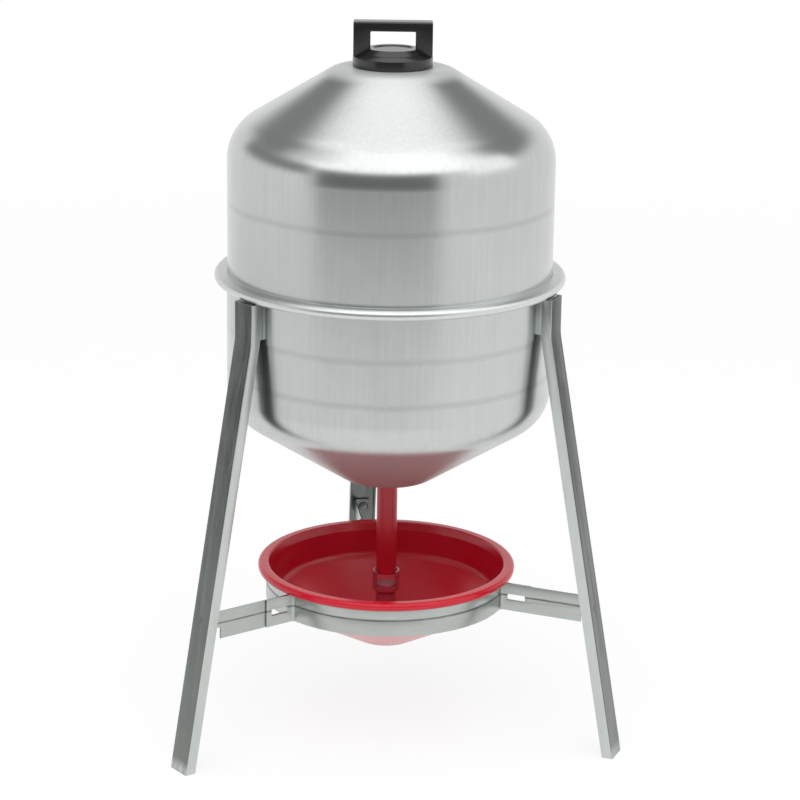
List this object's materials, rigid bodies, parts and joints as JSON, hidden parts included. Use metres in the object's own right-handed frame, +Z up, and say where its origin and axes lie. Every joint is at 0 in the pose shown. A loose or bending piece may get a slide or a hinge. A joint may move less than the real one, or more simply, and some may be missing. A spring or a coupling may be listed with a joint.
{
  "type": "poultry waterer fount",
  "caption": "Galvanised siphon drinker: a two-shell tank with screw cap on channel legs, feeding a red drinking bowl through a down pipe.",
  "frame": {"origin": "on the floor, under the tank's upright axis", "axes": "+Z up along the tank's axis, +X to the right and +Y away from someone facing the pictured side"},
  "size_m": [0.4706, 0.4494, 0.762],
  "materials": {
    "galvanised_steel": "bright galvanised sheet, satin",
    "zinc_leg": "zinc plated, satin",
    "black_plastic": "moulded, satin",
    "red_plastic": "moulded, glossy",
    "rubber": "matt"
  },
  "bodies": {
    "stand_and_tank": {"upper_tank_shell": "galvanised_steel", "lower_tank_shell": "galvanised_steel", "seam_ring": "galvanised_steel", "seam_gasket": "rubber", "filler_neck": "galvanised_steel", "outlet_seal": "rubber", "outlet_nut": "red_plastic", "down_pipe": "red_plastic", "leg_left": "zinc_leg", "leg_right": "zinc_leg", "leg_back": "zinc_leg", "leg_bracket_left": "zinc_leg", "leg_bracket_right": "zinc_leg", "leg_bracket_back": "zinc_leg", "bowl_strap_front": "galvanised_steel", "bowl_strap_right": "galvanised_steel", "bowl_strap_left": "galvanised_steel", "strap_rivet_left": "zinc_leg", "strap_rivet_right": "zinc_leg", "strap_rivet_back": "zinc_leg"},
    "cap_washer": {"cap_seal": "rubber"},
    "cap": {"screw_cap": "black_plastic"},
    "bowl_centre": {"pipe_seat": "red_plastic", "seat_pad": "rubber"},
    "drinking_bowl": {"bowl": "red_plastic"}
  },
  "joints": [
    {"name": "cap_rise", "type": "slide", "parent": "stand_and_tank", "child": "cap_washer", "axis": [0, 0, 1], "range_m": [0, 0.009]},
    {"name": "cap_turn", "type": "hinge", "parent": "cap_washer", "child": "cap", "pos_m": [0, 0, 0.72], "axis": [0, 0, 1], "range_deg": [0, 540]},
    {"name": "bowl_lift", "type": "slide", "parent": "stand_and_tank", "child": "bowl_centre", "axis": [0, 0, 1], "range_m": [0, 0.0125]},
    {"name": "bowl_turn", "type": "hinge", "parent": "bowl_centre", "child": "drinking_bowl", "pos_m": [0, 0, 0.1], "axis": [0, 0, 1], "continuous": true}
  ],
  "couplings": [
    {"joint": "cap_rise", "follows": "cap_turn", "m_per_rad": 0.00095493}
  ]
}
